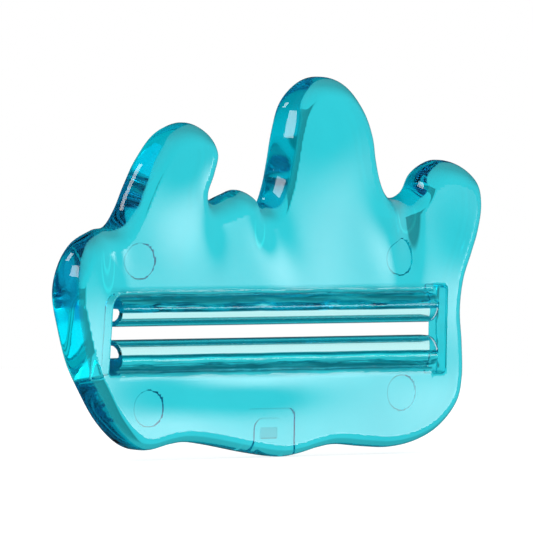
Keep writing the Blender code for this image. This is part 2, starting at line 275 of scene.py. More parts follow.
@dataclass(frozen=True)
class DripHighlight:
    """A pale outline below a valley, a painted highlight along the drip's curved wall.

    Attributes:
        x: Its middle across the plate, in millimetres.
        z: Its middle up the plate, in millimetres.
        half_width: Half its width, in millimetres.
        half_height: Half its height, in millimetres.
    """

    x: float
    z: float
    half_width: float
    half_height: float


# Painted highlights: pale outlines below the valleys, in millimetres.
DRIP_HIGHLIGHTS: Tuple[DripHighlight, ...] = (
    DripHighlight(-36.3, 33.6, 1.40, 4.7),
    DripHighlight(-36.5, 35.0, 0.75, 3.0),
    DripHighlight(-4.6, 39.4, 1.05, 3.2),
    DripHighlight(27.8, 41.6, 1.60, 3.3),
)


@dataclass
class PlateTable:
    """Distance to the outline, the way it faces and the front's ripples, as a smooth table.

    Attributes:
        outline: Points of the closed outline.
        ripples: Swells and grooves of the front.
        pitch: Spacing of the table's rows and columns.
        margin: How far the table runs past the outline.
        blur_passes: How often the way that the outline faces is smoothed.
        block: Places measured at a time.
        brim: How far short of its last span's end the table is still read, in places.
    """

    outline: Floats
    ripples: Sequence[Ripple]
    pitch: float = 0.25 * MM
    margin: float = 3.0 * MM
    blur_passes: int = 24
    block: int = 4096
    brim: float = 0.001
    origin: Floats = field(init=False)
    table: Floats = field(init=False)

    def __post_init__(self) -> None:
        """Fill the table."""
        low = self.outline.min(axis=0) - self.margin
        high = self.outline.max(axis=0) + self.margin
        counts = np.ceil((high - low) / self.pitch).astype(int) + 1
        self.origin = low
        xs = low[0] + self.pitch * np.arange(counts[0])
        zs = low[1] + self.pitch * np.arange(counts[1])
        grid_x, grid_z = np.meshgrid(xs, zs, indexing="ij")
        distance = self._signed_distance(grid_x, grid_z)
        relief = np.zeros_like(distance)
        for ripple in self.ripples:
            relief += ripple.height(grid_x, grid_z)
        facing = [self._blurred(slope) for slope in np.gradient(distance, self.pitch)]
        self.table = np.stack([distance, relief, *facing])

    def _blurred(self, values: Floats) -> Floats:
        """Smooth a table by averaging neighbours."""
        for _ in range(self.blur_passes):
            wide = np.pad(values, 1, mode="edge")
            rows = (wide[:-2, 1:-1] + wide[2:, 1:-1]) / 4 + values / 2
            wide = np.pad(rows, 1, mode="edge")
            values = (wide[1:-1, :-2] + wide[1:-1, 2:]) / 4 + rows / 2
        return values

    def _signed_distance(self, grid_x: Floats, grid_z: Floats) -> Floats:
        """Measure every place of the table to the outline, below zero inside."""
        start = self.outline
        end = np.roll(self.outline, -1, axis=0)
        run = end - start
        length = (run**2).sum(axis=1)
        flat = np.stack([grid_x.ravel(), grid_z.ravel()], axis=1)
        nearest = np.empty(len(flat))
        inside = np.empty(len(flat), bool)
        for first in range(0, len(flat), self.block):
            now = slice(first, first + self.block)
            some = flat[now, None, :]
            offset = some - start
            share = np.clip((offset * run).sum(axis=2) / length, 0.0, 1.0)
            gap = offset - share[..., None] * run
            nearest[now] = (gap**2).sum(axis=2).min(axis=1)
            above = start[:, 1] > some[..., 1]
            crossing = above != (end[:, 1] > some[..., 1])
            rise = np.where(run[:, 1] == 0, 1.0, run[:, 1])
            reach = start[:, 0] + (some[..., 1] - start[:, 1]) / rise * run[:, 0]
            inside[now] = (crossing & (some[..., 0] < reach)).sum(axis=1) % 2 == 1
        distance = np.sqrt(nearest)
        return np.where(inside, -distance, distance).reshape(grid_x.shape)

    def sample(self, x: Floats, z: Floats) -> Floats:
        """Read the table between its places with a cubic spline.

        Args:
            x: Places across the plate.
            z: Places up the plate.

        Returns:
            Four rows: signed distance to the outline, height of the front's ripples, and how far
            the nearest stretch of the outline faces right and up.
        """
        columns, across = self._weights((x - self.origin[0]) / self.pitch, self.table.shape[1])
        rows, upward = self._weights((z - self.origin[1]) / self.pitch, self.table.shape[2])
        total = np.zeros((len(self.table), len(x)))
        for column in range(4):
            for row in range(4):
                weight = across[column] * upward[row]
                total += weight * self.table[:, columns + column, rows + row]
        return total

    def _weights(self, place: Floats, count: int) -> Tuple[Floats, Floats]:
        """Return the first index and the four spline weights for each place."""
        place = np.clip(place, 1.0, count - 3 - self.brim)
        index = np.floor(place).astype(int)
        share = place - index
        weights = np.stack([
            (1 - share) ** 3,
            3 * share**3 - 6 * share**2 + 4,
            -3 * share**3 + 3 * share**2 + 3 * share + 1,
            share**3,
        ]) / 6
        return index - 1, weights


# The moulding


# height and length in millimetres, and phase in radians, of each wave in the walls
WALL_WAVES = ((0.06, 17.3, 0.4), (0.03, 7.1, 1.9), (0.008, 3.1, 0.7))


def wall_wave(x: Floats) -> Floats:
    """Return how far the moulded walls beside the rails wander up and down along them."""
    total = np.zeros_like(x)
    for height, length, phase in WALL_WAVES:
        total += height * MM * np.sin(2 * math.pi * x / (length * MM) + phase)
    return total


@dataclass
class Rail:
    """One channel rail beside the pinch gap, cored out from the back.

    Attributes:
        gap_edge: Height of its edge at the pinch gap.
        direction: 1 where the rail runs up from the gap, -1 where it runs down.
        left: Its left end.
        right: Its right end.
        front: Depth of its front.
        height: Its height.
        gap_wall: Wall thickness between the core and the gap.
        web_wall: Wall thickness between the core and the web.
        front_wall: Wall thickness in front of the core.
        nose_radius: Radius of its front edge at the gap.
        corner_radius: Radius of its front edge at the web.
        core_radii: Radii of the core's corners at the gap and at the web.
        edge_radius: Radius of the end faces' edges.
    """

    gap_edge: float
    direction: int
    left: float
    right: float
    front: float
    height: float
    gap_wall: float = 0.85 * MM
    web_wall: float = 2.0 * MM
    front_wall: float = 0.85 * MM
    nose_radius: float = 3.2 * MM
    corner_radius: float = 1.8 * MM
    core_radii: Pair = (2.35 * MM, 1.0 * MM)
    edge_radius: float = 0.22 * MM

    def distance(self, x: Floats, y: Floats, z: Floats) -> Floats:
        """Return the signed distance to the rail, which runs on past the back until it is cut."""
        wave = wall_wave(x)
        away = self.direction * (z - self.gap_edge)
        nose = round_meet(self.front - y, -away, self.nose_radius)
        corner = round_meet(self.front - y, away - self.height + wave, self.corner_radius)
        outside = np.maximum(nose, corner)
        before = self.front + self.front_wall - y
        near = round_meet(before, self.gap_wall - away, self.core_radii[0])
        far_wall = away - (self.height - self.web_wall) + wave / 2
        core = np.maximum(near, round_meet(before, far_wall, self.core_radii[1]))
        section = round_meet(outside, -core, self.edge_radius)
        ends = np.maximum(self.left - x, x - self.right)
        return round_meet(section, ends, self.edge_radius)


@dataclass
class BackMarks:
    """What the mould leaves on the flat back: ejector marks and the gate's recess.

    Attributes:
        ejectors: Middles of the round ejector marks.
        ejector_radius: Their radius.
        ejector_depth: How deep they are sunk.
        recess_half: Half the width of the gate's recess.
        recess_top: Height of the recess's top.
        recess_corner: Radius of its corners.
        recess_depth: How deep it is sunk.
        pad_half: Half the width of the arched pad.
        pad_bottom: Height of the pad's bottom.
        pad_top: Height of its top.
        pad_corner: Radius of its upper corners.
        pad_rise: How far it stands out of the recess.
        stub_half: Half the width of the gate's stub.
        stub_middle: Height of the stub's middle.
        stub_half_height: Half the stub's height.
        stub_rise: How far it stands out of the pad.
        edge: Width over which a sharp step rises.
        soft_edge: Width over which the recess's step rises.
    """

    ejectors: Sequence[Pair] = (
        (-25.6 * MM, 8.7 * MM), (28.5 * MM, 10.5 * MM),
        (-27.8 * MM, 33.7 * MM), (27.9 * MM, 33.8 * MM),
    )
    ejector_radius: float = 3.05 * MM
    ejector_depth: float = 0.2 * MM
    recess_half: float = 5.4 * MM
    recess_top: float = 8.2 * MM
    recess_corner: float = 1.4 * MM
    recess_depth: float = 0.22 * MM
    pad_half: float = 3.25 * MM
    pad_bottom: float = 1.6 * MM
    pad_top: float = 6.6 * MM
    pad_corner: float = 1.95 * MM
    pad_rise: float = 0.16 * MM
    stub_half: float = 1.8 * MM
    stub_middle: float = 4.1 * MM
    stub_half_height: float = 0.95 * MM
    stub_rise: float = 0.12 * MM
    edge: float = 0.22 * MM
    soft_edge: float = 0.6 * MM

    def sunk(self, x: Floats, z: Floats) -> Floats:
        """Return how deep the back is sunk at each place."""
        depth = np.zeros_like(x)
        for middle_x, middle_z in self.ejectors:
            away = np.hypot(x - middle_x, z - middle_z) - self.ejector_radius
            depth += self.ejector_depth * soft_step(away, self.edge)
        recess = arch(x, z, self.recess_half, self.recess_top, self.recess_corner)
        pad = arch(x, z, self.pad_half, self.pad_top, self.pad_corner)
        pad = np.maximum(pad, self.pad_bottom - z)
        stub_low = (-self.stub_half, self.stub_middle - self.stub_half_height)
        stub_high = (self.stub_half, self.stub_middle + self.stub_half_height)
        stub = upright_box(x, z, stub_low, stub_high)
        depth += self.recess_depth * soft_step(recess, self.soft_edge)
        depth -= self.pad_rise * soft_step(pad, self.soft_edge)
        depth -= self.stub_rise * soft_step(stub, self.edge)
        return depth


@dataclass(frozen=True)
class Rim:
    """Soft front rim, which is fuller or flatter by the way that it faces.

    Each tuple holds the values for stretches that face left, right, up and down.

    Attributes:
        reach: How far the rim reaches in from the outline.
        depth: How deep it goes from the front.
        power: Its fullness: 1 is a flat bevel and 2 an ellipse.
        least_facing: Below this, a place faces no way and has the values for the right.
    """

    reach: Tuple[float, float, float, float] = (3.5 * MM, 2.2 * MM, 3.9 * MM, 2.0 * MM)
    depth: Tuple[float, float, float, float] = (4.6 * MM, 2.8 * MM, 3.6 * MM, 2.4 * MM)
    power: Tuple[float, float, float, float] = (1.2, 2.0, 1.7, 2.0)
    least_facing: float = 1e-6

    def plate(self, side: Floats, face: Floats, right: Floats, upward: Floats) -> Floats:
        """Return the plate with its rim, from its side, its front and the way it faces."""
        shares = [np.maximum(part, 0.0) ** 2 for part in (-right, right, upward, -upward)]
        total = np.maximum(sum(shares), self.least_facing)
        unclear = total <= self.least_facing
        blended = []
        for values in (self.reach, self.depth, self.power):
            mean = sum(share * value for share, value in zip(shares, values)) / total
            blended.append(mean + unclear * values[1])
        return rim_meet(side, face, *blended)


@dataclass
class Moulding:
    """The whole squeezer as one moulding: plate, window, rails and the marks of the mould.

    Attributes:
        table: The plate's outline and front.
        marks: The marks on the back.
        rim: The soft rim of the front.
        top_rise: How far the tops stand out further than in the CAD model.
        top_power: How fast this fades where the outline turns down.
        back_radius: Radius of the back's outer edge.
        cut_radius: Radius of the back's other edges.
        cut_reach: How far in from the outline the larger radius reaches.
        rail_overhang: How far the rails' right ends stand out further than in the CAD model.
        relief_height: How far the left and the right end slot run past the rails.
        relief_reach: How far these reliefs run along the rails.
        slot_radius: Radius of the window's edges at its two ends.
        slot_corners: Radii of the left end slot's corners, below and above, and of the right one's.
        slot_shift: How far the left end slot is narrower than in the CAD model.
        slot_lean: How far the left end slot's wall leans to the right, per unit of height.
        trough_radius: Radius of the web's front edge along a rail.
        trough_fade: Length over which that radius ends, towards the window's ends.
        trough_depth: Depth of the trough between a web and its rail.
        fillet: Reach of the fillet between a web and its rail.
        joint_inset: How far in from the rails' left ends the joint between web and rail starts.
        joint_overlap: How far this joint runs into web and rail.
    """

    table: PlateTable
    marks: BackMarks
    rim: Rim = Rim()
    top_rise: float = 0.4 * MM
    top_power: int = 4
    back_radius: float = 0.6 * MM
    cut_radius: float = 0.2 * MM
    cut_reach: float = 2.0 * MM
    rail_overhang: float = 0.4 * MM
    relief_height: Pair = (0.35 * MM, 1.1 * MM)
    relief_reach: float = 0.5 * MM
    slot_radius: float = 0.35 * MM
    slot_corners: Triple = (0.4 * MM, 2.6 * MM, 0.8 * MM)
    slot_shift: float = 0.30 * MM
    slot_lean: float = 0.06
    trough_radius: float = 0.55 * MM
    trough_fade: float = 2.0 * MM
    trough_depth: float = 1.6 * MM
    fillet: float = 0.25 * MM
    joint_inset: float = 0.25 * MM
    joint_overlap: float = 1.6 * MM
    front: float = field(init=False)
    back: float = field(init=False)
    window_left: float = field(init=False)
    window_right: float = field(init=False)
    window_bottom: float = field(init=False)
    window_top: float = field(init=False)
    rail_left: float = field(init=False)
    rail_right: float = field(init=False)
    rails: List[Rail] = field(init=False)

    def __post_init__(self) -> None:
        """Take the places of the window and its rails from the CAD nodes."""
        web_low, web_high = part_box("lower_web")
        upper_web_low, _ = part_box("upper_web")
        rail_low, rail_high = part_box("upper_rail")
        lower_low, lower_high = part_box("lower_rail")
        self.front = web_low.y
        self.back = web_high.y
        self.window_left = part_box("left_bridge")[1].x
        self.window_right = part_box("right_bridge")[0].x
        self.window_bottom = web_high.z
        self.window_top = upper_web_low.z
        self.rail_left = rail_low.x
        self.rail_right = rail_high.x
        ends = (rail_low.x, rail_high.x + self.rail_overhang, rail_low.y)
        self.rails = [
            Rail(rail_low.z, 1, *ends, rail_high.z - rail_low.z),
            Rail(lower_high.z, -1, *ends, lower_high.z - lower_low.z),
        ]

    def _window(self, x: Floats, z: Floats) -> Floats:
        """Return the signed distance to the window, below zero in the open."""
        across = np.maximum(self.rail_left - x, x - self.rail_right)
        wave = wall_wave(x + self.window_right)
        window = np.maximum(across, np.maximum(self.window_bottom - z, z - self.window_top) + wave)
        middle = (self.window_bottom + self.window_top) / 2
        tall = np.abs(z - middle) - (self.window_top - self.window_bottom) / 2
        left = self.window_left + self.slot_shift + self.slot_lean * (z - middle)
        low_corner, high_corner, right_corner = self.slot_corners
        corner = low_corner + (high_corner - low_corner) * (z > middle)
        left_slot = round_meet(left - x, tall - self.relief_height[0], corner)
        left_slot = round_meet(left_slot, x - self.rail_left, low_corner)
        right_slot = round_meet(x - self.window_right, tall - self.relief_height[1], right_corner)
        right_slot = np.maximum(right_slot, self.rail_right - self.relief_reach - x)
        return np.minimum(window, np.minimum(left_slot, right_slot))

    def _joints(self, x: Floats, y: Floats, z: Floats) -> Floats:
        """Return the signed distance to the plastic that joins each rail to its web."""
        depth = self.front + self.trough_depth - y
        joints = []
        for rail, edge in zip(self.rails, (self.window_top, self.window_bottom)):
            outer = rail.gap_edge + rail.direction * rail.height
            low = (self.rail_left + self.joint_inset, min(outer, edge) - self.joint_overlap)
            high = (self.rail_right - self.relief_reach, max(outer, edge) + self.joint_overlap)
            joints.append(np.maximum(upright_box(x, z, low, high), depth))
        return np.minimum(*joints)

    def distance(self, x: Floats, y: Floats, z: Floats, drawn: Floats) -> Floats:
        """Return the signed distance to the moulding.

        Args:
            x: Places across.
            y: Places in depth.
            z: Places up.
            drawn: The plate table's four rows at each place.

        Returns:
            Level set of the moulding: below zero in the plastic.
        """
        outline, relief, right, upward = drawn
        outline = outline - self.top_rise * np.maximum(upward, 0.0) ** self.top_power
        plate = self.rim.plate(outline, self.front - relief - y, right, upward)
        past_ends = np.maximum(self.rail_left - x, x - self.rail_right) + self.trough_radius
        inner = soft_step(past_ends, self.trough_fade)
        radius = self.slot_radius + (self.trough_radius - self.slot_radius) * inner
        plate = round_meet(plate, -self._window(x, z), radius)
        whole = np.minimum(plate, self._joints(x, y, z))
        for rail in self.rails:
            whole = soft_join(whole, rail.distance(x, y, z), self.fillet)
        near_edge = soft_step(-outline - self.cut_reach, self.cut_reach)
        radius = self.cut_radius + (self.back_radius - self.cut_radius) * near_edge
        return round_meet(whole, y - self.back + self.marks.sunk(x, z), radius)

    def at(self, points: Floats) -> Floats:
        """Return the signed distance at points given as rows."""
        drawn = self.table.sample(points[:, 0], points[:, 2])
        return self.distance(points[:, 0], points[:, 1], points[:, 2], drawn)


# Meshing


def graded_axis(stops: Sequence[Pair], end: float) -> Floats:
    """Lay out grid places with a spacing that changes from stretch to stretch.

    Args:
        stops: Start of each stretch and its spacing, in order.
        end: Where the last stretch ends.

    Returns:
        Rising places along the axis.
    """
    starts = [start for start, _ in stops] + [end]
    places: List[float] = []
    for (start, spacing), stop in zip(stops, starts[1:]):
        count = max(1, round((stop - start) / spacing))
        places.extend(start + (stop - start) * step / count for step in range(count))
    places.append(end)
    return np.array(places)


@dataclass
class SkinMesher:
    """Turns the moulding's level set into one closed mesh.

    Attributes:
        moulding: The shape to mesh.
        passes: How often the points are pressed onto the exact surface.
        probe: Distance over which a slope is measured.
        longest_step: Furthest that a point moves in one pass.
        least_steep: Least slope, squared, that a step is worked out with.
        normal_probe: Distance over which the normals are measured.
        edge: How far the grid runs past the CAD model.
        coarse: Spacing of the grid away from all details.
        ends: Spacing across the window's ends.
        gate: Spacing across the gate's recess.
        depth: Spacing from the front to the back.
        foot: Spacing up the foot.
        window: Spacing up the window.
        fine_reach: How far a finer stretch runs past the window.
        gate_half: Half the width of the finer stretch at the gate.
        foot_top: Height of the finer stretch at the foot.
    """

    moulding: Moulding
    passes: int = 4
    probe: float = 0.012 * MM
    longest_step: float = 0.2 * MM
    least_steep: float = 0.05
    normal_probe: float = 0.048 * MM
    edge: float = 1.0 * MM
    coarse: float = 0.46 * MM
    ends: float = 0.262 * MM
    gate: float = 0.315 * MM
    depth: float = 0.282 * MM
    foot: float = 0.335 * MM
    window: float = 0.27 * MM
    fine_reach: float = 2.5 * MM
    gate_half: float = 6.5 * MM
    foot_top: float = 10.0 * MM

    def axes(self) -> Tuple[Floats, Floats, Floats]:
        """Return the grid's places along X, Y and Z, finer around the window and the gate."""
        shape = self.moulding
        low, high = CAD_BOX
        xs = graded_axis([
            (low.x - self.edge, self.coarse),
            (shape.window_left - self.fine_reach / 2, self.ends),
            (shape.rail_left + self.fine_reach, self.coarse),
            (-self.gate_half, self.gate),
            (self.gate_half, self.coarse),
            (shape.rail_right - self.fine_reach, self.ends),
            (shape.window_right + self.fine_reach / 2, self.coarse),
        ], high.x + self.edge)
        ys = graded_axis([(low.y - self.edge, self.depth)], high.y + self.edge)
        zs = graded_axis([
            (low.z - self.edge, self.foot),
            (self.foot_top, self.coarse),
            (shape.window_bottom - self.fine_reach, self.window),
            (shape.window_top + self.fine_reach, self.coarse),
        ], high.z + self.edge)
        return xs, ys, zs

    def grid_values(self, xs: Floats, ys: Floats, zs: Floats) -> Floats:
        """Return the level set at every place of the grid."""
        flat_x, flat_z = np.meshgrid(xs, zs, indexing="ij")
        drawn = self.moulding.table.sample(flat_x.ravel(), flat_z.ravel())
        values = np.empty((len(xs), len(ys), len(zs)))
        for index, depth in enumerate(ys):
            layer = self.moulding.distance(
                flat_x.ravel(), np.full(flat_x.size, depth), flat_z.ravel(), drawn)
            values[:, index, :] = layer.reshape(flat_x.shape)
        return values

    def net(self, values: Floats, xs: Floats, ys: Floats, zs: Floats) -> Tuple[Floats, Floats]:
        """Span the zero level with a net of four-sided faces.

        Args:
            values: Level set on the grid.
            xs: Grid places along X.
            ys: Grid places along Y.
            zs: Grid places along Z.

        Returns:
            Points as rows, and faces as rows of four point numbers.
        """
        inside = values < 0
        corners = [(a, b, c) for a in (0, 1) for b in (0, 1) for c in (0, 1)]
        shape = tuple(size - 1 for size in values.shape)
        count = np.zeros(shape, np.int8)
        for a, b, c in corners:
            count += inside[a:a + shape[0], b:b + shape[1], c:c + shape[2]]
        cells = np.nonzero((count > 0) & (count < len(corners)))
        number = np.full(shape, -1, np.int64)
        number[cells] = np.arange(len(cells[0]))
        axes = (xs, ys, zs)
        held = {}
        for corner in corners:
            index = tuple(cells[axis] + corner[axis] for axis in range(3))
            place = np.stack([axes[axis][index[axis]] for axis in range(3)], axis=1)
            held[corner] = (values[index], place)
        total = np.zeros((len(cells[0]), 3))
        hits = np.zeros((len(cells[0]), 1))
        edges = [(corner, axis) for corner in corners for axis in range(3) if not corner[axis]]
        for corner, axis in edges:
            other = corner[:axis] + (1,) + corner[axis + 1:]
            near, near_place = held[corner]
            far, far_place = held[other]
            crossed = (near < 0) != (far < 0)
            share = near / np.where(crossed, near - far, 1.0)
            meeting = near_place + share[:, None] * (far_place - near_place)
            total += np.where(crossed[:, None], meeting, 0.0)
            hits += crossed[:, None]
        return total / hits, self._faces(inside, number)

    def _faces(self, inside: Floats, number: Floats) -> Floats:
        """Join the four cells around every crossed grid edge into a face that looks outwards."""
        faces = []
        for axis in range(3):
            side, up = (axis + 1) % 3, (axis + 2) % 3
            turned = np.moveaxis(inside, (axis, side, up), (0, 1, 2))
            cells = np.moveaxis(number, (axis, side, up), (0, 1, 2))
            here = turned[:-1, 1:-1, 1:-1]
            there = turned[1:, 1:-1, 1:-1]
            a, b, c = np.nonzero(here != there)
            ring = np.stack([
                cells[a, b, c], cells[a, b + 1, c], cells[a, b + 1, c + 1], cells[a, b, c + 1],
            ], axis=1)
            outward = here[a, b, c]
            faces.append(np.where(outward[:, None], ring, ring[:, ::-1]))
        return np.concatenate(faces)

    def slopes(self, points: Floats, centre: Optional[Floats] = None) -> Floats:
        """Measure the level set's slope at points.

        Args:
            points: The points as rows.
            centre: Values at the points for a quick one-sided slope. Without them it is two-sided.

        Returns:
            Slopes as rows.
        """
        slope = np.empty_like(points)
        for axis, way in enumerate(np.eye(3)):
            if centre is None:
                step = self.normal_probe * way
                behind = self.moulding.at(points - step)
                slope[:, axis] = (self.moulding.at(points + step) - behind) / (2 * self.normal_probe)
            else:
                slope[:, axis] = (self.moulding.at(points + self.probe * way) - centre) / self.probe
        return slope

    def press(self, points: Floats) -> Floats:
        """Move points onto the exact surface, each along its slope."""
        for _ in range(self.passes):
            value = self.moulding.at(points)
            slope = self.slopes(points, value)
            steep = np.maximum((slope**2).sum(axis=1), self.least_steep)
            move = -(value / steep)[:, None] * slope
            length = np.linalg.norm(move, axis=1)
            scale = np.minimum(1.0, self.longest_step / np.maximum(length, TINY))
            points = points + move * scale[:, None]
        return points

    def build(self, name: str) -> bpy.types.Object:
        """Mesh the moulding.

        Args:
            name: Name of the new object.

        Returns:
            The object, smooth shaded with the exact surface's normals.
        """
        xs, ys, zs = self.axes()
        points, faces = self.net(self.grid_values(xs, ys, zs), xs, ys, zs)
        points = self.press(points)
        normals = self.slopes(points)
        normals /= np.maximum(np.linalg.norm(normals, axis=1), TINY)[:, None]
        mesh = bpy.data.meshes.new(name)
        mesh.vertices.add(len(points))
        mesh.vertices.foreach_set("co", points.astype(np.float32).ravel())
        mesh.loops.add(faces.size)
        mesh.loops.foreach_set("vertex_index", faces.astype(np.int32).ravel())
        mesh.polygons.add(len(faces))
        mesh.polygons.foreach_set("loop_start", np.arange(0, faces.size, 4, dtype=np.int32))
        mesh.polygons.foreach_set("loop_total", np.full(len(faces), 4, np.int32))
        mesh.update(calc_edges=True)
        mesh.validate()
        mesh.polygons.foreach_set("use_smooth", np.ones(len(mesh.polygons), bool))
        mesh.normals_split_custom_set_from_vertices(normals.tolist())
        return stand(name, mesh)


# Shader nodes


class Operation(Enum):
    """What a Math or Vector Math node does."""

    ADD = "ADD"
    SUBTRACT = "SUBTRACT"
    MULTIPLY = "MULTIPLY"
    MAXIMUM = "MAXIMUM"
    ABSOLUTE = "ABSOLUTE"
    COSINE = "COSINE"
    ARCTAN2 = "ARCTAN2"
    DISTANCE = "DISTANCE"


class Signal:
    """A shader socket that carries a number, with arithmetic that adds Math nodes."""

    def __init__(self, board: "NodeBoard", socket: bpy.types.NodeSocket) -> None:
        """Wrap a socket of the given board."""
        self.board = board
        self.socket = socket

    def __add__(self, other: Any) -> "Signal":
        """Add."""
        return self.board.math(Operation.ADD, self, other)

    def __radd__(self, other: Any) -> "Signal":
        """Add, reflected."""
        return self.board.math(Operation.ADD, other, self)

    def __sub__(self, other: Any) -> "Signal":
        """Subtract."""
        return self.board.math(Operation.SUBTRACT, self, other)

    def __rsub__(self, other: Any) -> "Signal":
        """Subtract, reflected."""
        return self.board.math(Operation.SUBTRACT, other, self)

    def __mul__(self, other: Any) -> "Signal":
        """Multiply."""
        return self.board.math(Operation.MULTIPLY, self, other)

    def __rmul__(self, other: Any) -> "Signal":
        """Multiply, reflected."""
        return self.board.math(Operation.MULTIPLY, other, self)

    def highest(self, other: Any) -> "Signal":
        """Return the larger of two values."""
        return self.board.math(Operation.MAXIMUM, self, other)

    def size(self) -> "Signal":
        """Return the value without its sign."""
        return self.board.math(Operation.ABSOLUTE, self)

    def ramp(self, low: float, high: float, first: float = 0.0, last: float = 1.0) -> "Signal":
        """Change smoothly from the first result, at the low value, to the last, at the high one."""
        made = self.board.add("MapRange", {
            "Value": self, "From Min": low, "From Max": high, "To Min": first, "To Max": last,
        }, interpolation_type="SMOOTHSTEP")
        return Signal(self.board, made.outputs[0])

    def near(self, middle: float, half: float, fade: float) -> "Signal":
        """Return 1 near a middle value and 0 past its reach.

        Args:
            middle: Value at which the mask has its middle.
            half: How far the mask reaches on either side.
            fade: Over how much it ends.

        Returns:
            The mask.
        """
        return (self - middle).size().ramp(half - fade / 2, half + fade / 2, 1.0, 0.0)


@dataclass(frozen=True)
class Grain:
    """Settings of one noise pattern.

    Attributes:
        scale: Its scale.
        detail: How many finer layers it has.
        roughness: How strong the finer layers are.
        distortion: How much it is warped.
    """

    scale: float
    detail: float
    roughness: float
    distortion: float = 0.0


class NodeBoard:
    """A material's or world's node tree, filled by one method.

    Attributes:
        MIX_FIRST: Number of a Mix node's socket for its first colour.
        MIX_SECOND: Number of the one for its second colour.
        MIX_RESULT: Number of its output for colours.
    """

    MIX_FIRST = 6
    MIX_SECOND = 7
    MIX_RESULT = 2

    def __init__(self, tree: bpy.types.NodeTree) -> None:
        """Start with an empty tree."""
        self.tree = tree
        tree.nodes.clear()

    def add(
        self,
        kind: str,
        inputs: Optional[Dict[Union[str, int], Any]] = None,
        stops: Sequence[Tuple[float, Colour]] = (),
        **settings: Any,
    ) -> bpy.types.Node:
        """Add a node.

        Args:
            kind: The node's type, as Blender names it after the word ShaderNode.
            inputs: Values of its sockets, or what is linked to them, by name or number.
            stops: Places and colours of a colour ramp.
            **settings: The node's own settings, which are set first.

        Returns:
            The new node.
        """
        made = self.tree.nodes.new("ShaderNode" + kind)
        for name, value in settings.items():
            setattr(made, name, value)
        if stops:
            self._fill_ramp(made.color_ramp, stops)
        for key, value in (inputs or {}).items():
            source = value.outputs[0] if isinstance(value, bpy.types.Node) else value
            source = source.socket if isinstance(source, Signal) else source
            if isinstance(source, bpy.types.NodeSocket):
                self.tree.links.new(source, made.inputs[key])
            else:
                made.inputs[key].default_value = source
        return made

    def _fill_ramp(self, ramp: bpy.types.ColorRamp, stops: Sequence[Tuple[float, Colour]]) -> None:
        """Set a colour ramp's stops."""
        while len(ramp.elements) < len(stops):
            ramp.elements.new(1.0)
        for element, (place, colour) in zip(ramp.elements, stops):
            element.position = place
            element.color = colour

    def math(self, operation: Operation, *values: Any) -> Signal:
        """Add one Math node and return its result."""
        made = self.add("Math", dict(enumerate(values)), operation=operation.value)
        return Signal(self, made.outputs[0])

    def split(self, vector: bpy.types.NodeSocket) -> List[Signal]:
        """Return a vector's three parts."""
        made = self.add("SeparateXYZ", {0: vector})
        return [Signal(self, part) for part in made.outputs]

    def vector(self, operation: Operation, first: Any, second: Any) -> bpy.types.NodeSocket:
        """Add one Vector Math node and return its result."""
        made = self.add("VectorMath", {0: first, 1: second}, operation=operation.value)
        return made.outputs["Value" if operation is Operation.DISTANCE else "Vector"]

    def mix(self, share: Signal, first: Any, second: Any) -> bpy.types.NodeSocket:
        """Mix two colours, where a share of 1 is all of the second."""
        colours = {self.MIX_FIRST: first, self.MIX_SECOND: second}
        return self.add("Mix", {"Factor": share, **colours}, data_type="RGBA").outputs[self.MIX_RESULT]

    def noise(self, place: bpy.types.NodeSocket, grain: Grain) -> Signal:
        """Return a noise pattern."""
        made = self.add("TexNoise", {
            "Vector": place, "Scale": grain.scale, "Detail": grain.detail,
            "Roughness": grain.roughness, "Distortion": grain.distortion,
        })
        return Signal(self, made.outputs["Fac"])

    def rays(self) -> List[Signal]:
        """Return 1 for a ray from the camera, from gloss, and from or through clear plastic."""
        path = self.add("LightPath")
        kinds = ("Camera", "Glossy", "Transmission")
        return [Signal(self, path.outputs[f"Is {kind} Ray"]) for kind in kinds]


def new_material(name: str) -> Tuple[bpy.types.Material, NodeBoard]:
    """Return a new material and its empty node tree."""
    material = bpy.data.materials.new(name)
    material.use_nodes = True
    return material, NodeBoard(material.node_tree)


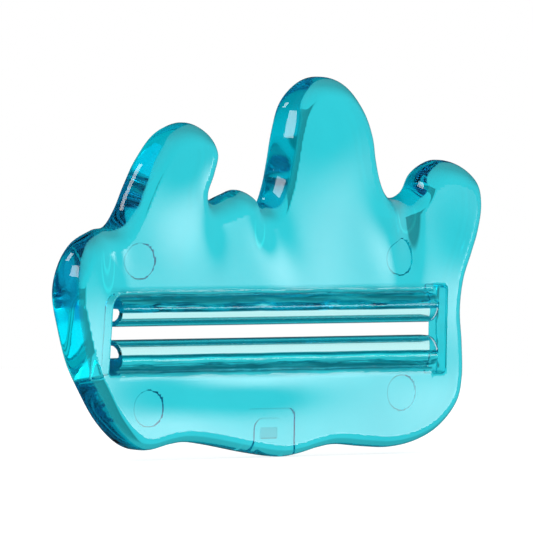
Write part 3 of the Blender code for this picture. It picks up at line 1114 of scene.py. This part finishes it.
@dataclass(frozen=True)
class ClearPlastic:
    """Polished clear plastic that is coloured all through.

    A reach is a pair: how far a mask goes on either side of its middle, and over what length it
    ends.

    Attributes:
        gap_middle: Height of the pinch gap's middle.
        rail_half: Half the length of the rails.
        marks: The marks on the back.
        back: Depth of the back.
        name: Name of the material.
        pale: Surface tint where the plastic flowed evenly, paler in part as a painted soft reflection
            on the wavy front.
        deep: Surface tint in the flow lines.
        thin: Painted highlight: near-white surface tint of the thin rail fronts and of the pale
            outlines below the valleys.
        drawn: Painted shade: dark surface tint of the streaks along the rails' outer sides and of the
            gate's stub.
        line: Painted shade: dark surface tint of the fine rings round the ejector marks.
        nose: Painted shade: darker surface tint along the rail noses.
        thick: Painted shade: dark surface tint of the lobe's thick shoulder.
        absorbed: Colour that the plastic lets through.
        density: Absorption per metre.
        index: Refractive index.
        smooth: Lowest roughness.
        haze: Roughness that the fine haze adds.
        flow_grain: Pattern of the flow lines, which also lays out the pale tint's painted soft
            reflections.
        haze_grain: Pattern of the fine haze.
        streak_grain: Pattern of the streaks, before they are drawn out.
        ripple: Depth of the polished surface's slow waves.
        ripple_strength: Strength of these waves.
        streak: Depth of the drawn streaks along the rails.
        streak_squeeze: How much the streaks are drawn out along the rails.
        streak_levels: Values of their pattern at which their painted shade is fullest and the least.
        streak_shares: How far their painted shade goes there.
        streak_reach: How far from the gap's middle the streaks lie, and how wide their band is.
        rail_fade: Length over which the rails' tints end.
        nose_shade_reach: Reach of the rail noses' painted shade from the gap's middle.
        thin_highlight_reach: Reach of the thin fronts' painted highlight from the gap's middle.
        shoulder: Middle of the painted shade on the thick shoulder, across and up.
        shoulder_across: Its reach across.
        shoulder_up: Its reach up.
        shoulder_back: Reach from the back that is free of its painted shade.
        stub_shade_share: How far the gate's stub is painted towards the streaks' dark shade.
        stub_back: Reach of the stub's painted shade from the back.
        line_width: Width of the fine lines round the ejector marks.
        line_back: Reach of these lines from the back.
        drip_highlights: The pale outlines on the front, painted highlights in the thin fronts' tint.
        highlight_width: Width of these outlines.
        highlight_back: Reach from the back that is free of them.
    """

    gap_middle: float
    rail_half: float
    marks: BackMarks
    back: float
    name: str = "clear_turquoise_plastic"
    pale: Colour = (0.98, 0.78, 0.85, 1.0)
    deep: Colour = (0.60, 0.62, 0.70, 1.0)
    thin: Colour = (0.97, 0.99, 1.0, 1.0)
    drawn: Colour = (0.04, 0.11, 0.15, 1.0)
    line: Colour = (0.08, 0.34, 0.42, 1.0)
    nose: Colour = (0.08, 0.50, 0.58, 1.0)
    thick: Colour = (0.20, 0.20, 0.42, 1.0)
    absorbed: Colour = (0.0, 0.974, 0.985, 1.0)
    density: float = 560.0
    index: float = 1.57
    smooth: float = 0.012
    haze: float = 0.03
    flow_grain: Grain = Grain(70.0, 3.0, 0.45, 0.6)
    haze_grain: Grain = Grain(980.0, 2.0, 0.5)
    streak_grain: Grain = Grain(1820.0, 3.0, 0.6)
    ripple: float = 0.02 * MM
    ripple_strength: float = 0.35
    streak: float = 0.05 * MM
    streak_squeeze: float = 0.06
    streak_levels: Pair = (0.45, 0.62)
    streak_shares: Pair = (1.0, 0.30)
    streak_reach: Pair = (5.9 * MM, 2.2 * MM)
    rail_fade: float = 1.0 * MM
    nose_shade_reach: Pair = (1.95 * MM, 0.3 * MM)
    thin_highlight_reach: Pair = (4.4 * MM, 1.0 * MM)
    shoulder: Pair = (-44.8 * MM, 33.4 * MM)
    shoulder_across: Pair = (2.9 * MM, 1.0 * MM)
    shoulder_up: Pair = (7.6 * MM, 1.0 * MM)
    shoulder_back: Pair = (1.0 * MM, 0.6 * MM)
    stub_shade_share: float = 0.5
    stub_back: Pair = (1.0 * MM, 0.1 * MM)
    line_width: float = 0.11 * MM
    line_back: Pair = (0.4 * MM, 0.1 * MM)
    drip_highlights: Sequence[DripHighlight] = DRIP_HIGHLIGHTS
    highlight_width: float = 0.26 * MM
    highlight_back: Pair = (2.0 * MM, 1.0 * MM)

    def build(self) -> bpy.types.Material:
        """Return the finished material."""
        material, board = new_material(self.name)
        place = board.add("TexCoord").outputs["Object"]
        x, y, z = board.split(place)
        flow = board.noise(place, self.flow_grain)
        haze = board.noise(place, self.haze_grain)
        squeezed = board.vector(Operation.MULTIPLY, place, (self.streak_squeeze, 1.0, 1.0))
        streaks = board.noise(squeezed, self.streak_grain)
        along = x.near(0.0, self.rail_half, self.rail_fade)
        band_middle, band_width = self.streak_reach
        band = (z - self.gap_middle).size().near(band_middle, band_width / 2, band_width)
        nose = z.near(self.gap_middle, *self.nose_shade_reach)
        front = z.near(self.gap_middle, *self.thin_highlight_reach)
        # Painted shade: dark streaks along the rails' outer sides.
        streak_shade = along * band * streaks.ramp(*self.streak_levels, *self.streak_shares)
        # Share of the painted highlights: the paler thin rail fronts and the pale outlines below the
        # valleys.
        pale = (along * (front - nose)).highest(self._drip_highlights(place, y, z))
        # Flow tint between pale and deep: partly real flow lines, partly painted soft reflections.
        colour = board.mix(flow, self.pale, self.deep)
        # Painted shade: the rail noses are tinted darker.
        colour = board.mix(along * nose, colour, self.nose)
        # Painted shade: the lobe's thick shoulder is tinted dark.
        colour = board.mix(self._shoulder_shade(x, y, z), colour, self.thick)
        # Painted shade on the rails' outer streaks and on the gate's stub.
        colour = board.mix(streak_shade + self._stub_shade(x, y, z), colour, self.drawn)
        # Painted highlights in the near-white tint.
        colour = board.mix(pale, colour, self.thin)
        # Painted shade: fine dark rings round the ejector marks.
        colour = board.mix(self._ejector_shade_lines(place, y), colour, self.line)
        slow = board.add("Bump", {
            "Strength": self.ripple_strength, "Distance": self.ripple, "Height": flow,
        })
        bump = board.add("Bump", {
            "Strength": 1.0,
            "Distance": self.streak,
            "Height": streaks * band * along,
            "Normal": slow,
        })
        surface = board.add("BsdfPrincipled", {
            "Base Color": colour,
            "Roughness": self.smooth + self.haze * haze * flow,
            "Metallic": 0.0,
            "IOR": self.index,
            "Transmission Weight": 1.0,
            "Normal": bump,
        })
        inside = board.add("VolumeAbsorption", {"Color": self.absorbed, "Density": self.density})
        board.add("OutputMaterial", {"Surface": surface, "Volume": inside})
        return material

    def _shoulder_shade(self, x: Signal, y: Signal, z: Signal) -> Signal:
        """Return 1 on the front of the lobe's thick shoulder, where it gets its painted shade."""
        beside = x.near(self.shoulder[0], *self.shoulder_across)
        level = z.near(self.shoulder[1], *self.shoulder_up)
        return beside * level * (1.0 - y.near(self.back, *self.shoulder_back))

    def _drip_highlights(self, place: bpy.types.NodeSocket, y: Signal, z: Signal) -> Signal:
        """Return how pale the painted highlights below the valleys make the front, strongest at their
        lower ends.
        """
        board = y.board
        lines = []
        for mark in self.drip_highlights:
            half_width, half_height = mark.half_width * MM, mark.half_height * MM
            offset = board.vector(Operation.SUBTRACT, place, (mark.x * MM, 0.0, mark.z * MM))
            scales = (1.0 / half_width, 0.0, 1.0 / half_height)
            shrunk = board.vector(Operation.MULTIPLY, offset, scales)
            away = Signal(board, board.vector(Operation.DISTANCE, shrunk, (0.0, 0.0, 0.0)))
            fade = self.highlight_width / half_width
            lower = z.near(mark.z * MM - half_height, half_height, half_height)
            lines.append(away.near(1.0, fade / 2, fade) * lower)
        return reduce(Signal.highest, lines) * (1.0 - y.near(self.back, *self.highlight_back))

    def _ejector_shade_lines(self, place: bpy.types.NodeSocket, y: Signal) -> Signal:
        """Return 1 on the fine rings of painted shade round the ejector marks, on the back only."""
        board = y.board
        flat = board.vector(Operation.MULTIPLY, place, (1.0, 0.0, 1.0))
        lines = []
        for middle_x, middle_z in self.marks.ejectors:
            away = Signal(board, board.vector(Operation.DISTANCE, flat, (middle_x, 0.0, middle_z)))
            lines.append(away.near(self.marks.ejector_radius, self.line_width / 2, self.line_width))
        return reduce(Signal.__add__, lines) * y.near(self.back, *self.line_back)

    def _stub_shade(self, x: Signal, y: Signal, z: Signal) -> Signal:
        """Return how strongly the gate's stub is darkened with painted shade."""
        across = x.near(0.0, self.marks.stub_half, self.line_width)
        level = z.near(self.marks.stub_middle, self.marks.stub_half_height, self.line_width)
        return across * level * y.near(self.back, *self.stub_back) * self.stub_shade_share


# Studio


@dataclass(frozen=True)
class SoftBox:
    """A studio lamp with an evenly lit oblong face.

    Attributes:
        name: Name of the lamp.
        place: Where it stands.
        aim: Point that it faces.
        size: Width and height of its face.
        glow: Brightness of its face, where 1 is white.
        glints: Whether gloss shows it.
    """

    name: str
    place: Triple
    aim: Triple
    size: Pair
    glow: float
    glints: bool = True

    def build(self) -> None:
        """Stand the lamp in the scene."""
        lamp = bpy.data.lights.new(self.name, "AREA")
        lamp.shape = "RECTANGLE"
        lamp.size, lamp.size_y = self.size
        lamp.energy = self.glow * math.pi * self.size[0] * self.size[1]
        made = stand(self.name, lamp)
        made.location = self.place
        toward = Vector(self.aim) - Vector(self.place)
        made.rotation_euler = toward.to_track_quat("-Z", "Y").to_euler()
        made.visible_camera = False
        made.visible_glossy = self.glints
        LOG.info("lamp: %s", self.name)


@dataclass(frozen=True)
class Surroundings:
    """What stands around the object: white panels with dimmer gaps between them.

    Directions are in degrees from +Y towards +X.

    Attributes:
        panels: Direction of each panel's middle, degrees from there to its edge, and its brightness.
        tall_panel: The same for the one panel that reaches high up.
        edge: Degrees over which a panel's sides fade.
        gap_glow: Brightness of the gaps.
        high_glow: Brightness above and below the panels.
        tall: Slope at which the panels start to fade and at which they end.
        mirrored: Share of the panels' brightness that gloss shows.
        sheet: Direction of the middle of a soft lit sheet for the gloss, and degrees to its edge.
        sheet_top: Slope at which the sheet starts to fade at its top, and at which it ends.
        sheet_foot: Slope at which it starts to fade at its foot, and at which it ends.
        sheet_edge: Degrees over which its sides fade.
        sheet_glow: Brightness of the sheet.
        ambient: Brightness of everything as a light on the floor.
    """

    panels: Tuple[Triple, ...] = (
        (1.0, 51.0, 1.0), (110.0, 14.0, 0.9), (146.0, 11.5, 1.0), (182.0, 11.5, 1.0),
        (220.0, 13.5, 1.5), (254.0, 11.5, 1.0), (290.0, 11.5, 1.0),
    )
    tall_panel: Triple = (226.0, 24.0, 1.7)
    edge: float = 5.0
    gap_glow: float = 0.42
    high_glow: float = 0.72
    tall: Pair = (0.22, 0.36)
    mirrored: float = 0.04
    sheet: Pair = (143.0, 11.0)
    sheet_top: Pair = (-0.080, -0.006)
    sheet_foot: Pair = (-0.095, -0.15)
    sheet_edge: float = 9.0
    sheet_glow: float = 5.0
    ambient: float = 0.75

    def build(self) -> None:
        """Make the world: white to look at, the panels for gloss and clear plastic."""
        world = bpy.data.worlds.new("surroundings")
        bpy.context.scene.world = world
        world.use_nodes = True
        board = NodeBoard(world.node_tree)
        x, y, slope = board.split(board.add("TexCoord").outputs["Generated"])
        turn = board.math(Operation.ARCTAN2, x, y)
        through = self._ring(turn, slope)
        mirrored = self.mirrored * through + self.sheet_glow * self._sheet(turn, slope)
        camera, glossy, clear = board.rays()
        gloss = glossy * (1.0 - clear)
        plain = (1.0 - camera) * (1.0 - glossy.highest(clear))
        glow = camera + plain * self.ambient + clear * through + gloss * mirrored
        lit = board.add("Background", {"Color": WHITE, "Strength": glow})
        board.add("OutputWorld", {"Surface": lit})
        LOG.info("surroundings: %d panels", len(self.panels) + 1)

    def _ring(self, turn: Signal, slope: Signal) -> Signal:
        """Return how bright the panels and their gaps are, by a ray's turn and slope."""
        ring: Union[float, Signal] = self.gap_glow
        for middle, half, glow in self.panels:
            ring = ring + (glow - self.gap_glow) * self._panel(turn, middle, half, self.edge)
        level = slope.size().ramp(self.tall[1], self.tall[0])
        middle, half, glow = self.tall_panel
        raised = (glow - self.high_glow) * self._panel(turn, middle, half, self.edge)
        high = self.high_glow + raised
        return high + (ring - high) * level

    def _panel(self, turn: Signal, middle: float, half: float, edge: float) -> Signal:
        """Return 1 towards a panel and 0 beside it, from its middle, half width and soft edge."""
        facing = turn.board.math(Operation.COSINE, turn - math.radians(middle))
        outer, inner = (math.cos(math.radians(half + share * edge)) for share in (0.5, -0.5))
        return facing.ramp(outer, inner)

    def _sheet(self, turn: Signal, slope: Signal) -> Signal:
        """Return the soft sheet's mask: 1 in its middle and 0 past its edges."""
        beside = self._panel(turn, *self.sheet, self.sheet_edge)
        below_top = slope.ramp(self.sheet_top[1], self.sheet_top[0])
        above_foot = slope.ramp(self.sheet_foot[1], self.sheet_foot[0])
        return beside * below_top * above_foot


@dataclass(frozen=True)
class PaleFloor:
    """Round pale floor, which stays white but keeps the shadow.

    Attributes:
        radius: Radius of the floor.
        glow: Share of white that it keeps in the shadow.
        shade: Share of white that the lamps add to it.
        plain: Its share of white as a light on other things.
        slants: Brightness that clear plastic shows, by how flat it looks along the floor: a painted
            sheen for the white surroundings mirrored at a grazing view.
        rim_points: Points round its edge.
    """

    radius: float = 0.30
    glow: float = 0.80
    shade: float = 0.42
    plain: float = 0.80
    slants: Tuple[Pair, ...] = (
        (0.30, 0.60), (0.50, 0.66), (0.60, 0.80), (0.70, 0.92), (0.82, 1.0),
    )
    rim_points: int = 96

    def build(self) -> None:
        turn = 2 * math.pi / self.rim_points
        points = [(self.radius * math.cos(turn * step), self.radius * math.sin(turn * step), 0.0)
                  for step in range(self.rim_points)]
        mesh = bpy.data.meshes.new("floor")
        mesh.from_pydata(points, [], [tuple(range(self.rim_points))])
        mesh.materials.append(self._paint())
        stand("floor", mesh)
        LOG.info("floor: %.2f m across", 2 * self.radius)

    def _paint(self) -> bpy.types.Material:
        """Return the floor's finish."""
        material, board = new_material("pale_floor")
        camera, glossy, clear = board.rays()
        # Painted sheen: seen through the plastic, the floor glows brighter the flatter it looks.
        slant = board.add("LayerWeight")
        stops = [(place, grey(glow)) for place, glow in self.slants]
        painted_sheen = board.add("ValToRGB", {"Fac": slant.outputs["Facing"]}, stops)
        paint = board.add("BsdfDiffuse", {"Color": grey(self.shade)})
        glow = board.add("Emission", {"Color": WHITE, "Strength": self.glow})
        viewed = board.add("AddShader", {0: paint, 1: glow})
        shown = board.add("Emission", {"Color": painted_sheen, "Strength": 1.0})
        plain = board.add("BsdfDiffuse", {"Color": grey(self.plain)})
        open_way = board.add("BsdfTransparent")
        finish = plain
        for share, other in ((glossy, open_way), (clear, shown), (camera, viewed)):
            finish = board.add("MixShader", {0: share, 1: finish, 2: other})
        board.add("OutputMaterial", {"Surface": finish})
        return material


@dataclass
class Studio:
    """Pale floor, white surroundings and soft lamps.

    Attributes:
        surroundings: The panels around the object.
        floor: The floor.
        boxes: The lamps.
    """

    surroundings: Surroundings = Surroundings()
    floor: PaleFloor = PaleFloor()
    boxes: Sequence[SoftBox] = (
        SoftBox("left_box", (-0.68, -0.32, 0.37), (0.0, 0.0, 0.035), (0.19, 0.15), 5.5),
        SoftBox("upper_box", (-0.604, -0.02, 0.55), (0.0, 0.0, 0.035), (0.12, 0.17), 6.0),
        SoftBox("high_box", (0.10, -0.35, 0.85), (0.0, 0.0, 0.03), (0.55, 0.40), 1.2, False),
    )

    def build(self) -> None:
        """Set up the whole studio."""
        self.surroundings.build()
        self.floor.build()
        for box in self.boxes:
            box.build()


@dataclass(frozen=True)
class PhotoCamera:
    """The camera at the photograph's viewing angle.

    Attributes:
        turn: Degrees that it stands to the left of the front.
        lift: Degrees that it looks down.
        roll: Degrees that it is tilted about its own line of sight.
        distance: Distance to the object's middle plane.
        pixel: Size of a pixel at that distance.
        frame: Width and height of the picture in pixels.
        middle: Point of the object that is aimed at.
        off_centre: Pixels that this point lies right of and below the picture's middle.
        sensor: Width of the sensor in millimetres.
        nearest: Distance from which it sees things.
    """

    turn: float = 37.0
    lift: float = 2.0
    roll: float = 0.875
    distance: float = 1.4
    pixel: float = 0.1708 * MM
    frame: int = 533
    middle: Triple = (0.0, 0.0, 32.3 * MM)
    off_centre: Pair = (6.5, 1.5)
    sensor: float = 36.0
    nearest: float = 0.01

    def build(self) -> None:
        """Stand the camera in the scene and make it the scene's own."""
        turn, lift, roll = (math.radians(angle) for angle in (self.turn, self.lift, self.roll))
        right = Vector((math.cos(turn), -math.sin(turn), 0.0))
        level = math.cos(lift)
        ahead = Vector((math.sin(turn) * level, math.cos(turn) * level, -math.sin(lift)))
        up = right.cross(ahead)
        tilted_right = right * math.cos(roll) + up * math.sin(roll)
        tilted_up = up * math.cos(roll) - right * math.sin(roll)
        across, down = (self.pixel * shift for shift in self.off_centre)
        place = Vector(self.middle) - ahead * self.distance - tilted_right * across + tilted_up * down
        data = bpy.data.cameras.new("photo_camera")
        data.sensor_width = self.sensor
        data.lens = self.distance * self.sensor / (self.frame * self.pixel)
        data.clip_start = self.nearest
        made = stand("photo_camera", data)
        axes = Matrix((tilted_right, tilted_up, -ahead)).transposed()
        made.matrix_world = Matrix.Translation(place) @ axes.to_4x4()
        bpy.context.scene.camera = made


def set_view(scene: bpy.types.Scene) -> None:
    """Show colours as they are written and let light find its way out of the plastic."""
    scene.view_settings.view_transform = "Standard"
    for name, bounces in LIGHT_BOUNCES.items():
        setattr(scene.cycles, name, bounces)


def dress_moulding() -> None:
    """Build the moulding's one piece, finish it and put it in the place of the CAD nodes."""
    low, high = CAD_BOX
    outline = SplashOutline().drawn(high.x - low.x, high.z - low.z)
    table = PlateTable(outline, FRONT_RIPPLES)
    marks = BackMarks()
    moulding = Moulding(table, marks)
    piece = SkinMesher(moulding).build("moulding")
    gap_middle = (moulding.rails[0].gap_edge + moulding.rails[1].gap_edge) / 2
    rail_half = (moulding.rail_right - moulding.rail_left) / 2
    piece.data.materials.append(ClearPlastic(gap_middle, rail_half, marks, moulding.back).build())
    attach(piece, BODY)
    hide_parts(*sorted(frame["nodes"]))
    LOG.info("moulding: %d points, %d faces", len(piece.data.vertices), len(piece.data.polygons))


def main() -> None:
    """Build the dressed squeezer, its studio and its camera."""
    set_view(bpy.context.scene)
    PhotoCamera().build()
    dress_moulding()
    Studio().build()


if __name__ == "__main__":
    main()
